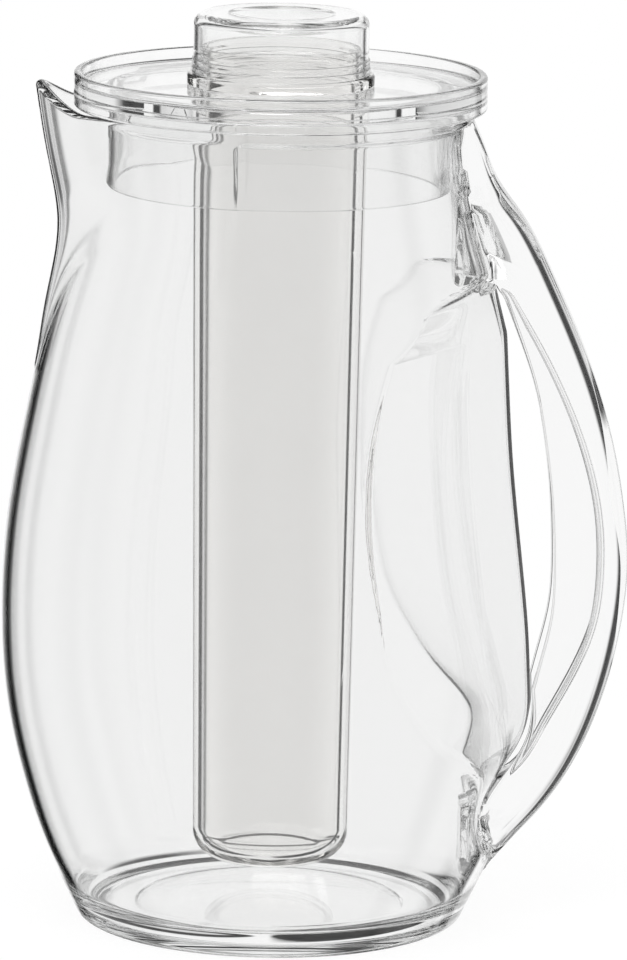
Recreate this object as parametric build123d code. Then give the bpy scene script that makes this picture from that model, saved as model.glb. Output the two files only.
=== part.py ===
from build123d import *
import os
from math import cos, radians, sin, sqrt

# Plastic water carafe with a lid and a hanging ice tube. Millimetres, +Z up.
# The origin is the centre of the foot, on the surface that the jug stands on.
# The spout points along -X and the handle along +X.

# Jug shell
base_radius = 58.7
belly_radius = 82.3
belly_height = 95.0
rim_height = 250.4
neck_radius = 54.5
neck_length = 11.2
wall = 3.0
floor_thickness = 4.0

# Foot and domed floor
foot_inset = 2.7
corner_rise = 2.0
corner_flare = 0.4
punt_radius = 40.7
dome_rise = 5.5
inner_corner_run = 8.5

# Rolled rim
rim_radius = 57.6
rim_band_height = 8.2
rim_flare_height = 2.6
rim_round = 1.4

# Flank of the pear: (height, radius) shares, below the belly from the base and above it to the neck
lower_flank_shares = ((0.116, 0.195), (0.237, 0.415), (0.437, 0.69), (0.689, 0.915))
upper_flank_shares = ((0.208, 0.072), (0.42, 0.263), (0.61, 0.486), (0.777, 0.755), (0.895, 0.925))

# Beak spout
spout_length = 77.2
spout_reach = 73.4
spout_half_width = 36.0
lip_rise = 4.8
lip_wall = 3.2
lip_ramp_length = 14.4
# (height, reach, width) shares: foot to lip, neck to full reach, and of the half width
spout_station_shares = (
    (0.0, 0.74, 0.33),
    (0.17, 0.735, 0.5),
    (0.34, 0.645, 0.68),
    (0.5, 0.63, 0.8),
    (0.71, 0.79, 0.92),
    (1.0, 1.0, 1.0),
)
# Plan of the beak: (length from root to tip, half width) shares
beak_plan_shares = ((0.51, 0.694), (0.757, 0.40))
lip_profile_shares = ((0.35, 0.36), (0.7, 0.78))

# Keel-shaped hand recess behind the handle
recess_floor_height = 20.0
recess_shelf_drop = 70.4
recess_top_drop = 50.4
recess_angle = 31.8
recess_wall = 2.0
keel_inner_radius = 1.0
# (height, nose, angle) shares: floor to shelf, neck to belly radius, and of the recess angle
recess_station_shares = (
    (0.0, 0.43, 0.02),
    (0.04, 0.363, 0.04),
    (0.075, 0.337, 0.08),
    (0.12, 0.424, 0.22),
    (0.165, 0.59, 0.36),
    (0.21, 0.745, 0.50),
    (0.265, 0.845, 0.72),
    (0.33, 0.853, 0.85),
    (0.423, 0.824, 0.94),
    (0.54, 0.755, 0.965),
    (0.65, 0.68, 0.985),
    (0.765, 0.611, 1.0),
    (0.88, 0.565, 1.0),
    (1.0, 0.525, 0.97),
)
# The same above the shelf: heights run from the shelf to the recess top
recess_roof_shares = ((0.0, 0.525, 0.97), (0.52, 0.435, 0.81), (0.81, 0.39, 0.62), (1.0, 0.35, 0.10))

# Handle
handle_reach = 106.6
handle_foot_height = 12.5
handle_crown_drop = 6.2
handle_half_width = 14.0
handle_root_half_width = 9.5
web_thickness = 7.0
flange_thickness = 4.0
handle_round = 4.0
channel_top_drop = 53.7
channel_foot_height = 40.0
window_depth = 18.5
# Outer edge of the handle: (reach, height) shares, neck to full reach and foot to crown
handle_edge_shares = (
    (0.063, 1.0),
    (0.138, 0.961),
    (0.211, 0.922),
    (0.336, 0.883),
    (0.528, 0.805),
    (0.66, 0.74),
    (0.777, 0.675),
    (0.902, 0.583),
    (0.969, 0.503),
    (1.0, 0.43),
    (0.969, 0.343),
    (0.875, 0.25),
    (0.733, 0.168),
    (0.512, 0.091),
    (0.244, 0.025),
    (0.144, 0.0),
)
# Floor of the channel: (reach, height) shares, neck to the inside of the web, channel foot to top
channel_edge_shares = (
    (0.30, 1.0),
    (0.554, 0.879),
    (0.756, 0.763),
    (0.89, 0.66),
    (0.985, 0.53),
    (0.997, 0.44),
    (0.953, 0.332),
    (0.787, 0.212),
    (0.601, 0.112),
    (0.392, 0.031),
    (0.239, 0.0),
)
# Inner edge of the side flanges, towards the shell: neck to the flange edge, channel foot to top
window_edge_shares = (
    (0.36, 1.01),
    (0.605, 0.892),
    (0.747, 0.816),
    (0.882, 0.70),
    (0.966, 0.582),
    (1.0, 0.465),
    (0.976, 0.348),
    (0.855, 0.248),
    (0.693, 0.15),
    (0.497, 0.083),
    (0.34, 0.01),
)

# Keys of the handle's roots, set in pockets of the shell
upper_key_radius_share = 0.789
upper_key_depth = 5.0
upper_key_drop = 27.2
upper_key_length = 26.0
lower_key_radius_share = 0.46
lower_key_depth = 9.0
lower_key_low = 17.0
lower_key_length = 16.0
key_half_width = 7.0
key_round = 3.0

# Lid
lid_radius = 61.7
lid_plate = 3.5
lid_wall = 2.4
lid_wall_rise = 3.8
lid_overlap = 3.2
lid_round = 0.8
lid_clearance = 0.3
skirt_clearance = 0.6
skirt_wall = 2.6
skirt_length = 27.2
rib_count = 4
rib_first_angle = 9.0
rib_width = 1.8
rib_proud = 0.3
rib_length = 12.3

# Ice tube
tube_top_radius = 26.2
tube_end_radius = 23.4
tube_bore_radius = 22.4
tube_end_bore_radius = 20.4
tube_end_height = 18.0
tube_floor = 3.0
tube_end_round = 9.0
tube_end_bore_round = 6.0
tube_flange_radius = 28.0
tube_flange_thickness = 3.5
hole_clearance = 0.4
tube_neck_radius = 24.0
tube_neck_height = 8.0
bead_count = 2
bead_pitch = 2.6
bead_proud = 0.35
bead_half_height = 0.8

# Tube cap, which is the lid's knob
cap_radius = 26.2
cap_height = 18.0
cap_bore_clearance = 0.5
cap_round = 3.2
cap_top = 2.2
dish_radius = 16.0
dish_depth = 3.6
cap_band_proud = 0.5
cap_band_height = 2.0
cap_ring_proud = 0.3
cap_ring_low = 3.0
cap_ring_height = 1.4

# One overrun serves all cuts
overrun = 6.0

# Heights and radii that follow from the sizes above
neck_start_height = rim_height - neck_length
spout_foot_height = rim_height - spout_length
lip_height = rim_height + lip_rise
recess_shelf_height = rim_height - recess_shelf_drop
recess_top_height = rim_height - recess_top_drop
handle_crown_height = rim_height - handle_crown_drop
channel_top_height = rim_height - channel_top_drop
lid_foot_height = rim_height - lid_overlap
tray_height = rim_height + lid_plate
flange_top_height = tray_height + tube_flange_thickness
neck_bore_radius = neck_radius - wall
skirt_radius = neck_bore_radius - skirt_clearance


def side_face(*edges):
    """A face drawn in the jug's upright middle plane: across is X, up is Z."""
    return Plane.XZ * make_face(edges)


def turned(*edges):
    """The solid that a half section turns into about the jug's axis."""
    return revolve(side_face(*edges), Axis.Z, 360)


def slab(face, half_width):
    """A side face thickened equally to both sides."""
    return extrude(face, amount=half_width, both=True)


def part_way(start, end, share):
    return start + share * (end - start)


def flank_points(inset):
    """Points of the pear's flank from just above the base to the neck, moved in by the inset."""
    lower = [
        (part_way(base_radius, belly_radius, radius_share) - inset, height_share * belly_height)
        for height_share, radius_share in lower_flank_shares
    ]
    upper = [
        (
            part_way(belly_radius, neck_radius, radius_share) - inset,
            part_way(belly_height, neck_start_height, height_share),
        )
        for height_share, radius_share in upper_flank_shares
    ]
    return lower + [(belly_radius - inset, belly_height)] + upper + [(neck_radius - inset, neck_start_height)]


def pear_outside():
    """The pear with its foot, dome and rolled rim, solid to the axis."""
    foot = base_radius - foot_inset
    corner_end = (base_radius + corner_flare, corner_rise)
    dome = TangentArc((0, dome_rise), (punt_radius, 0), tangent=(1, 0))
    sole = Line((punt_radius, 0), (foot, 0))
    corner = TangentArc((foot, 0), corner_end, tangent=(1, 0))
    flank = Spline(corner_end, *flank_points(0), tangents=(corner % 1, (0, 1)))
    band_low = rim_height - rim_band_height
    neck = Line(flank @ 1, (neck_radius, band_low))
    flare = Line(neck @ 1, (rim_radius, band_low + rim_flare_height))
    band = Line(flare @ 1, (rim_radius, rim_height - rim_round))
    roll = TangentArc(band @ 1, (rim_radius - rim_round, rim_height), tangent=(0, 1))
    top = Line(roll @ 1, (0, rim_height))
    axis = Line(top @ 1, (0, dome_rise))
    return turned(dome, sole, corner, flank, neck, flare, band, roll, top, axis)


def pear_inside():
    """The water space of the pear, which opens through the neck."""
    points = flank_points(wall)
    corner_radius, corner_height = points[0]
    inner_foot = (corner_radius - inner_corner_run, floor_thickness)
    dome = TangentArc((0, dome_rise + floor_thickness), (punt_radius, floor_thickness), tangent=(1, 0))
    sole = Line(dome @ 1, inner_foot)
    corner = TangentArc(inner_foot, (corner_radius, corner_height), tangent=(1, 0))
    flank = Spline(*points, tangents=(corner % 1, (0, 1)))
    neck = Line(flank @ 1, (neck_bore_radius, rim_height + overrun))
    top = Line(neck @ 1, (0, rim_height + overrun))
    axis = Line(top @ 1, dome @ 0)
    return turned(dome, sole, corner, flank, neck, top, axis)


def beak_section(height, root, reach, half_width):
    """One level of the beak: an egg-shaped plan that closes inside the neck."""
    side = [
        (-part_way(root, reach, length_share), width_share * half_width)
        for length_share, width_share in beak_plan_shares
    ]
    mirrored = [(x, -y) for x, y in reversed(side)]
    egg = Spline((-root, half_width), *side, (-reach, 0), *mirrored, (-root, -half_width))
    return Plane.XY.offset(height) * make_face([egg, Line(egg @ 1, egg @ 0)])


def beak(inset, root, top_height):
    """The beak from its foot on the flank to the given height, moved in by the inset."""
    sections = []
    for height_share, reach_share, width_share in spout_station_shares:
        height = part_way(spout_foot_height, top_height, height_share)
        reach = part_way(neck_radius, spout_reach, reach_share) - inset
        half_width = width_share * spout_half_width - inset
        sections.append(beak_section(height, root, reach, half_width))
    return loft(sections)


def beak_outside():
    """The beak's outside, trimmed under the lid's wall and along the rising lip."""
    root = sqrt(rim_radius**2 - spout_half_width**2)
    seat = lid_foot_height - lid_clearance
    ramp_start = -(spout_reach - lip_ramp_length)
    lip = [
        (part_way(ramp_start, -spout_reach, length_share), part_way(seat, lip_height, height_share))
        for length_share, height_share in lip_profile_shares
    ]
    ramp = Spline((ramp_start, seat), *lip, (-spout_reach, lip_height))
    over = Polyline(
        ramp @ 1,
        (-spout_reach - overrun, lip_height),
        (-spout_reach - overrun, lip_height + 2 * overrun),
        (0, lip_height + 2 * overrun),
        (0, seat),
        ramp @ 0,
    )
    lid_room = Pos(0, 0, seat) * Cylinder(
        lid_radius + lid_clearance,
        lip_height,
        align=(Align.CENTER, Align.CENTER, Align.MIN),
    )
    raw = beak(0, root, lip_height + lid_clearance)
    return raw - slab(side_face(ramp, *over.edges()), 2 * spout_half_width) - lid_room


def beak_inside():
    """The pouring channel."""
    root = sqrt(neck_bore_radius**2 - (spout_half_width - lip_wall) ** 2)
    return beak(lip_wall, root, lip_height + overrun)


def keel_section(height, nose, keel_radius, angle):
    """One level of the space outside the keel: everything beyond two walls that meet in a rounded nose."""
    lean = radians(angle)
    centre = nose - keel_radius
    touch = (centre + keel_radius * cos(lean), keel_radius * sin(lean))
    run = 1.5 * belly_radius
    far = (touch[0] - run * sin(lean), touch[1] + run * cos(lean))
    beyond = 2 * belly_radius
    edges = [
        Line((far[0], far[1]), touch),
        ThreePointArc(touch, (nose, 0), (touch[0], -touch[1])),
        Line((touch[0], -touch[1]), (far[0], -far[1])),
        Line((far[0], -far[1]), (beyond, -far[1])),
        Line((beyond, -far[1]), (beyond, far[1])),
        Line((beyond, far[1]), (far[0], far[1])),
    ]
    return Plane.XY.offset(height) * make_face(edges)


def recess_space(inset, keel_radius):
    """The space outside the recess walls, moved in by the inset."""
    pieces = []
    for shares, low, high in (
        (recess_station_shares, recess_floor_height, recess_shelf_height),
        (recess_roof_shares, recess_shelf_height, recess_top_height),
    ):
        sections = [
            keel_section(
                part_way(low, high, height_share),
                part_way(neck_radius, belly_radius, nose_share) - inset,
                keel_radius,
                angle_share * recess_angle,
            )
            for height_share, nose_share, angle_share in shares
        ]
        pieces.append(loft(sections))
        if low == recess_floor_height and inset > 0:
            pieces.append(extrude(sections[0], amount=-inset))
    return pieces


def root_key(low, length, outer_radius, depth, inset):
    """A rounded key of a handle root, which reaches into the shell by its depth. The inset grows it all round."""
    tip = outer_radius - depth - inset
    back = outer_radius + depth
    block = Pos((tip + back) / 2, 0, low + length / 2) * Box(
        back - tip,
        2 * (key_half_width + inset),
        length + 2 * inset,
    )
    front = block.faces().sort_by(Axis.X)[0]
    return fillet(front.edges(), key_round + inset)


def root_keys(inset):
    """Both keys, or with an inset the shell's bosses round them."""
    upper_radius = part_way(belly_radius, neck_radius, upper_key_radius_share)
    lower_radius = part_way(base_radius, belly_radius, lower_key_radius_share)
    upper_key_low = rim_height - upper_key_drop - upper_key_length
    return [
        root_key(upper_key_low, upper_key_length, upper_radius, upper_key_depth, inset),
        root_key(lower_key_low, lower_key_length, lower_radius, lower_key_depth, inset),
    ]


def jug_outside():
    """The jug's outer form, solid, with its spout and hand recess."""
    solid = pear_outside() + beak_outside()
    for space in recess_space(0, keel_inner_radius + recess_wall):
        solid -= space
    return solid


def jug_body(outside, keys):
    """The shell: the outer form less the water space, with pockets for the handle's keys."""
    water = pear_inside() + beak_inside()
    for space in recess_space(recess_wall, keel_inner_radius):
        water -= space
    for boss in root_keys(wall):
        water -= boss
    shell = outside - water
    for key in keys:
        shell -= key
    return shell


def handle_width_face(inset):
    """Front view of the handle, moved in by the inset: widest at the grip, narrow at the roots."""
    low = handle_foot_height
    high = handle_crown_height
    middle = (low + high) / 2
    wide = handle_half_width - inset
    root = handle_root_half_width - inset
    right = ThreePointArc((root, high), (wide, middle), (root, low))
    left = ThreePointArc((-root, low), (-wide, middle), (-root, high))
    return Plane.YZ * make_face([right, Line(right @ 1, left @ 0), left, Line(left @ 1, right @ 0)])


def handle_edge(shares, radius_limit, low, high):
    """A side-view curve of the handle, drawn from its top down."""
    points = [
        (part_way(neck_radius, radius_limit, reach_share), part_way(low, high, height_share))
        for reach_share, height_share in shares
    ]
    return Spline(*points)


def closed_to_body(edge):
    """The side face between a handle curve and an upright line inside the shell."""
    inner = neck_radius - 2 * upper_key_depth
    top, bottom = edge @ 0, edge @ 1
    return side_face(
        edge,
        Line(bottom, (inner, bottom.Y)),
        Line((inner, bottom.Y), (inner, top.Y)),
        Line((inner, top.Y), top),
    )


def handle(outside, keys):
    """The channel-section handle with its solid roots, cut to sit on the shell and in its pockets."""
    outer_edge = handle_edge(handle_edge_shares, handle_reach, handle_foot_height, handle_crown_height)
    blade = slab(closed_to_body(outer_edge), 2 * handle_half_width)
    width = extrude(handle_width_face(0), amount=2 * handle_reach)
    blank = blade & width
    rims = [edge for edge in blank.edges() if edge.length > handle_reach and abs(edge.center().Y) > 0]
    outermost = sorted(rims, key=lambda edge: -edge.bounding_box().max.X)[:2]
    blank = fillet(outermost, handle_round)

    channel_edge = handle_edge(
        channel_edge_shares,
        handle_reach - web_thickness,
        channel_foot_height,
        channel_top_height,
    )
    channel = slab(closed_to_body(channel_edge), 2 * handle_half_width)
    channel &= extrude(handle_width_face(flange_thickness), amount=2 * handle_reach)

    window_edge = handle_edge(
        window_edge_shares,
        handle_reach - window_depth - flange_thickness,
        channel_foot_height,
        channel_top_height,
    )
    window = slab(closed_to_body(window_edge), 2 * handle_half_width)

    shell_room = outside
    for key in keys:
        shell_room -= key
    return blank - channel - window - shell_room


def lid():
    """The lid: sunken tray, upstanding and overlapping wall, plug skirt and centring ribs."""
    hole = tube_top_radius + hole_clearance
    top = tray_height + lid_wall_rise
    inner_wall = lid_radius - lid_wall
    skirt_foot = rim_height - skirt_length
    section = Polyline(
        (hole, rim_height),
        (skirt_radius - skirt_wall, rim_height),
        (skirt_radius - skirt_wall, skirt_foot),
        (skirt_radius, skirt_foot),
        (skirt_radius, rim_height),
        (inner_wall, rim_height),
        (inner_wall, lid_foot_height),
        (lid_radius, lid_foot_height),
        (lid_radius, top),
        (inner_wall, top),
        (inner_wall, tray_height),
        (hole, tray_height),
        close=True,
    )
    solid = turned(*section.edges())
    corners = [
        edge
        for edge in solid.edges().filter_by(GeomType.CIRCLE)
        if edge.radius > inner_wall - lid_round
        and not (rim_height - lid_round < edge.center().Z < tray_height - lid_round)
    ]
    solid = fillet(corners, lid_round)
    rib = Pos(skirt_radius, 0, rim_height) * Box(
        2 * rib_proud,
        rib_width,
        rib_length,
        align=(Align.CENTER, Align.CENTER, Align.MAX),
    )
    for index in range(rib_count):
        solid += Rot(0, 0, rib_first_angle + index * 360 / rib_count) * rib
    return solid


def ice_tube():
    """The tube with its flange and the neck that the cap goes over."""
    neck_top = flange_top_height + tube_neck_height
    outer_end = Line((tube_end_radius - tube_end_round, tube_end_height), (0, tube_end_height))
    round_out = TangentArc(
        (tube_end_radius - tube_end_round, tube_end_height),
        (tube_end_radius, tube_end_height + tube_end_round),
        tangent=(1, 0),
    )
    floor_height = tube_end_height + tube_floor
    round_in = TangentArc(
        (tube_end_bore_radius - tube_end_bore_round, floor_height),
        (tube_end_bore_radius, floor_height + tube_end_bore_round),
        tangent=(1, 0),
    )
    outside = Polyline(
        round_out @ 1,
        (tube_top_radius, tray_height),
        (tube_flange_radius, tray_height),
        (tube_flange_radius, flange_top_height),
        (tube_neck_radius, flange_top_height),
        (tube_neck_radius, neck_top),
        (tube_bore_radius, neck_top),
        round_in @ 1,
    )
    floor_inside = Line(round_in @ 0, (0, floor_height))
    axis = Line((0, floor_height), (0, tube_end_height))
    solid = turned(outer_end, round_out, *outside.edges(), round_in, floor_inside, axis)
    for index in range(bead_count):
        height = flange_top_height + (index + 1) * bead_pitch
        bead = Polyline(
            (tube_neck_radius - bead_proud, height - bead_half_height),
            (tube_neck_radius, height - bead_half_height),
            (tube_neck_radius + bead_proud, height),
            (tube_neck_radius, height + bead_half_height),
            (tube_neck_radius - bead_proud, height + bead_half_height),
            close=True,
        )
        solid += turned(*bead.edges())
    return solid


def tube_cap():
    """The inverted cup over the tube's neck, with a dished top and a low grip band."""
    low = flange_top_height
    top = low + cap_height
    bore = tube_neck_radius + cap_bore_clearance
    roof = top - dish_depth - cap_top
    shoulder = TangentArc((cap_radius, top - cap_round), (cap_radius - cap_round, top), tangent=(0, 1))
    dish = TangentArc((0, top - dish_depth), (dish_radius, top), tangent=(1, 0))
    ring_low = low + cap_ring_low
    ring_high = ring_low + cap_ring_height
    outside = Polyline(
        (bore, low),
        (cap_radius + cap_band_proud, low),
        (cap_radius + cap_band_proud, low + cap_band_height),
        (cap_radius, low + cap_band_height),
        (cap_radius, ring_low),
        (cap_radius + cap_ring_proud, ring_low),
        (cap_radius + cap_ring_proud, ring_high),
        (cap_radius, ring_high),
        shoulder @ 0,
    )
    land = Line(shoulder @ 1, dish @ 1)
    axis = Line(dish @ 0, (0, roof))
    inner_dish = TangentArc((0, roof), (dish_radius, top - cap_top), tangent=(1, 0))
    inner = Polyline(inner_dish @ 1, (bore, top - cap_top), (bore, low))
    return turned(*outside.edges(), shoulder, land, dish, axis, inner_dish, *inner.edges())


def main():
    os.makedirs("parts", exist_ok=True)
    outside = jug_outside()
    keys = root_keys(0)
    pieces = {
        "jug_body": jug_body(outside, keys),
        "handle": handle(outside, keys),
        "lid": lid(),
        "ice_tube": ice_tube(),
        "tube_cap": tube_cap(),
    }
    for name, piece in pieces.items():
        export_step(piece, f"parts/{name}.step")


main()
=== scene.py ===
"""Looks of a clear plastic water carafe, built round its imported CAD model.

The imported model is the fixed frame. Each sub-assembly is rebuilt here as a fine, closed mesh,
because clear plastic shows every facet, and then dressed in a moulded plastic finish.
Sizes are in millimetres, and meshes are made in metres. The spout points along -X, the handle along +X.
"""

import logging
import math
from dataclasses import dataclass
from enum import Enum

import bmesh
import bpy
import numpy as np
from mathutils import Euler, Matrix, Vector


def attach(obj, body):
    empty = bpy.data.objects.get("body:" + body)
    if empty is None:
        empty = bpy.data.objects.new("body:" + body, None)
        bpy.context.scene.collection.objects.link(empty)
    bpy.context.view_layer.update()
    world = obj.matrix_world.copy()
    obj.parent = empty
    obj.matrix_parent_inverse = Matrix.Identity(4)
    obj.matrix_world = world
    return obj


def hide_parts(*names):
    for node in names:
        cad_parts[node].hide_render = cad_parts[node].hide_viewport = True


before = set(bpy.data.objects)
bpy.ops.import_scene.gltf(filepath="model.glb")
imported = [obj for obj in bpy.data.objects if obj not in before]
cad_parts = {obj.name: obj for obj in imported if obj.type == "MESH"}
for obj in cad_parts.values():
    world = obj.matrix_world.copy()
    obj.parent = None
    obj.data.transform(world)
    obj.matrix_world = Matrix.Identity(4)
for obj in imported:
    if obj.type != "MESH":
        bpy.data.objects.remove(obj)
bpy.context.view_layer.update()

MM = 0.001
LOG = logging.getLogger("carafe")

# A radius below this is a point on the axis
ON_AXIS = 1e-6
# A distance from the axis that stands for no wall at all
FAR = 400.0
# The least cosine that a distance is divided by
LEAST_SLOPE = 0.02
WHITE = (1, 1, 1, 1)

Point = tuple[float, float]
Corner = tuple[float, float, float]
Shares = tuple[tuple[float, ...], ...]
Sizes = np.ndarray | float
Piece = bpy.types.Object
Socket = bpy.types.NodeSocket


# Curves and meshes


def read_line(points: list[Point], place: Sizes, end_slope: float | None = None) -> np.ndarray:
    """Reads a smooth line through given points.

    Args:
        points: (place, value) pairs, rising.
        place: Where to read the line. Beyond its ends it keeps its end values.
        end_slope: Slope at the last point, or None for no bend there.

    Returns:
        The value there.
    """
    x, y = np.array(points, float).T
    step = np.diff(x)
    slope = np.diff(y) / step
    count = len(x)
    matrix = np.zeros((count, count))
    right = np.zeros(count)
    for i in range(1, count - 1):
        matrix[i, i - 1 : i + 2] = step[i - 1], 2 * (step[i - 1] + step[i]), step[i]
        right[i] = 6 * (slope[i] - slope[i - 1])
    matrix[0, 0] = matrix[-1, -1] = 1
    if end_slope is not None:
        matrix[-1, -2:] = step[-1], 2 * step[-1]
        right[-1] = 6 * (end_slope - slope[-1])
    bend = np.linalg.solve(matrix, right)
    p = np.clip(place, x[0], x[-1])
    i = np.clip(np.searchsorted(x, p, side="right") - 1, 0, count - 2)
    span = x[i + 1] - x[i]
    a = (x[i + 1] - p) / span
    b = (p - x[i]) / span
    cubic = ((a**3 - a) * bend[i] + (b**3 - b) * bend[i + 1]) * span**2 / 6
    return a * y[i] + b * y[i + 1] + cubic


def part_way(start: float, end: float, share: Sizes) -> Sizes:
    """Returns the value a share of the way from start to end."""
    return start + share * (end - start)


def shared_points(rows: Shares, heights: Point, sizes: Point, column: int = 1) -> list[Point]:
    """Turns a table of shares into points.

    Args:
        rows: Each a share of the way up, then shares of the way between two sizes.
        heights: The heights at shares of nought and one.
        sizes: The sizes at shares of nought and one.
        column: Which share of each row to take.

    Returns:
        A (height, size) pair for each row.
    """
    return [(part_way(*heights, row[0]), part_way(*sizes, row[column])) for row in rows]


def read_table(rows: Shares, ends: Point, sizes: list[Point], height: Sizes) -> list[np.ndarray]:
    """Reads a table of shares at a height, with one pair of sizes, at nought and one, for each column."""
    return [read_line(shared_points(rows, ends, pair, k), height) for k, pair in enumerate(sizes, 1)]


def soft_step(value: Sizes) -> np.ndarray:
    """Returns 0 below 0, 1 above 1, and a smooth rise between."""
    t = np.clip(value, 0, 1)
    return t * t * t * (t * (6 * t - 15) + 10)


def within(value: Sizes, low: float, high: float, rise: float, fall: float) -> np.ndarray:
    """Returns 1 between low and high and 0 outside, with a smooth rise and fall just inside them."""
    return soft_step((value - low) / rise) * soft_step((high - value) / fall)


def soft_min(a: np.ndarray, b: np.ndarray, blend: Sizes) -> np.ndarray:
    """Returns the smaller of two sizes, rounded where they differ by less than blend."""
    h = np.clip(0.5 + 0.5 * (b - a) / blend, 0, 1)
    return b * (1 - h) + a * h - blend * h * (1 - h)


def soft_max(a: np.ndarray, b: np.ndarray, blend: Sizes) -> np.ndarray:
    """Returns the larger of two sizes, rounded where they differ by less than blend."""
    return -soft_min(-a, -b, blend)


def sag(radius: float, half_width: float, rise: float) -> float:
    """Returns how far a dome of a given half width and rise has sunk at a radius."""
    ball = (half_width**2 + rise**2) / (2 * rise)
    return ball - math.sqrt(ball**2 - radius**2)


def rows_along(stops: list[Point]) -> np.ndarray:
    """Spreads rows evenly between stops.

    Args:
        stops: (place, pitch), rising. A pitch holds from its own stop up to the next.

    Returns:
        The rows' places, from the first stop up to, but not at, the last.
    """
    parts = []
    for (low, pitch), (high, _) in zip(stops[:-1], stops[1:]):
        parts.append(np.linspace(low, high, max(2, round((high - low) / pitch)) + 1)[:-1])
    return np.concatenate(parts)


def skin(name: str, rings: list[np.ndarray], loop: bool = False) -> Piece:
    """Makes a closed mesh from rings of points.

    Args:
        name: The piece's name.
        rings: Each a row of points in millimetres, closed on itself, or a single point for a pole.
        loop: Whether the last ring joins the first.

    Returns:
        The object, smooth shaded, with its normals outwards.
    """
    starts = np.cumsum([0] + [len(ring) for ring in rings])
    pairs = list(zip(range(len(rings)), range(1, len(rings))))
    if loop:
        pairs.append((len(rings) - 1, 0))
    faces: list[tuple[int, ...]] = []
    for low, high in pairs:
        a, b = int(starts[low]), int(starts[high])
        count = max(len(rings[low]), len(rings[high]))
        for k in range(count):
            n = (k + 1) % count
            if len(rings[low]) == 1:
                faces.append((a, b + n, b + k))
            elif len(rings[high]) == 1:
                faces.append((a + k, a + n, b))
            else:
                faces.append((a + k, a + n, b + n, b + k))
    mesh = bpy.data.meshes.new(name)
    mesh.from_pydata((np.concatenate(rings) * MM).tolist(), [], faces)
    solid = bmesh.new()
    solid.from_mesh(mesh)
    if solid.calc_volume(signed=True) < 0:
        mesh.flip_normals()
    solid.free()
    mesh.polygons.foreach_set("use_smooth", [True] * len(mesh.polygons))
    mesh.update()
    obj = bpy.data.objects.new(name, mesh)
    bpy.context.scene.collection.objects.link(obj)
    return obj


def rounded(corners: list[Corner], steps: int = 7, keeper: float = 0.05, closed: bool = False) -> list[Point]:
    """Rounds the corners of an outline.

    Args:
        corners: (across, up, radius) of each corner.
        steps: Segments in each round.
        keeper: Length beside each round that keeps its neighbour face flat when shaded.
        closed: Whether the last corner joins the first.

    Returns:
        The outline's points.
    """
    longest_share = 0.49
    out: list[Point] = []
    count = len(corners)
    for i, (x, y, radius) in enumerate(corners):
        here = Vector((x, y))
        if not closed and i in (0, count - 1) or radius <= 0:
            out.append((x, y))
            continue
        before = Vector(corners[i - 1][:2]) - here
        after = Vector(corners[(i + 1) % count][:2]) - here
        limit = longest_share * min(before.length, after.length)
        before.normalize()
        after.normalize()
        half = before.angle(after) / 2
        reach = min(radius / math.tan(half), limit)
        radius = reach * math.tan(half)
        centre = here + (before + after).normalized() * (radius / math.sin(half))
        start = here + before * reach
        end = here + after * reach
        spoke = start - centre
        turn = spoke.angle_signed(end - centre)
        out.append(tuple(start + before * keeper))
        for k in range(steps + 1):
            arm = spoke.copy()
            arm.rotate(Matrix.Rotation(-turn * k / steps, 2))
            out.append(tuple(centre + arm))
        out.append(tuple(end + after * keeper))
    return out


def arc(start: Point, middle: Point, end: Point, steps: int) -> list[Point]:
    """Draws an arc through three points.

    Args:
        start: First point.
        middle: A point on the arc.
        end: Last point.
        steps: Number of segments.

    Returns:
        The points, both ends included.
    """
    (ax, ay), (bx, by), (cx, cy) = start, middle, end
    d = 2 * (ax * (by - cy) + bx * (cy - ay) + cx * (ay - by))
    a2, b2, c2 = ax**2 + ay**2, bx**2 + by**2, cx**2 + cy**2
    ux = (a2 * (by - cy) + b2 * (cy - ay) + c2 * (ay - by)) / d
    uy = (a2 * (cx - bx) + b2 * (ax - cx) + c2 * (bx - ax)) / d
    first, mid, last = (math.atan2(y - uy, x - ux) for x, y in (start, middle, end))
    full = (last - first) % (2 * math.pi)
    if (mid - first) % (2 * math.pi) > full:
        full -= 2 * math.pi
    radius = math.hypot(ax - ux, ay - uy)
    turns = [first + full * k / steps for k in range(steps + 1)]
    return [(ux + radius * math.cos(turn), uy + radius * math.sin(turn)) for turn in turns]


def ring_at(radius: Sizes, height: Sizes, angles: np.ndarray) -> np.ndarray:
    """Returns a ring of points about the jug's axis, from a radius and a height, or one of each per angle."""
    across, up, _ = np.broadcast_arrays(radius, height, angles)
    return np.stack([across * np.cos(angles), across * np.sin(angles), up], axis=1)


def level_rings(outline: list[Point], angles: np.ndarray) -> list[np.ndarray]:
    """Turns an outline about the jug's axis.

    Args:
        outline: (radius, height) points. A radius of zero makes a pole.
        angles: The columns' angles in radians.

    Returns:
        A ring, or a single point, for each point of the outline.
    """
    rings = []
    for radius, height in outline:
        rings.append(ring_at(radius, height, angles) if radius >= ON_AXIS else np.array([[0, 0, height]]))
    return rings


def even_angles(count: int) -> np.ndarray:
    """Returns a full turn of evenly spread angles."""
    return np.linspace(-math.pi, math.pi, count + 1)[:-1]


def wrapped(angle: Sizes) -> Sizes:
    """Returns an angle between minus and plus half a turn."""
    return (angle + math.pi) % (2 * math.pi) - math.pi


# Finishes


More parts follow.
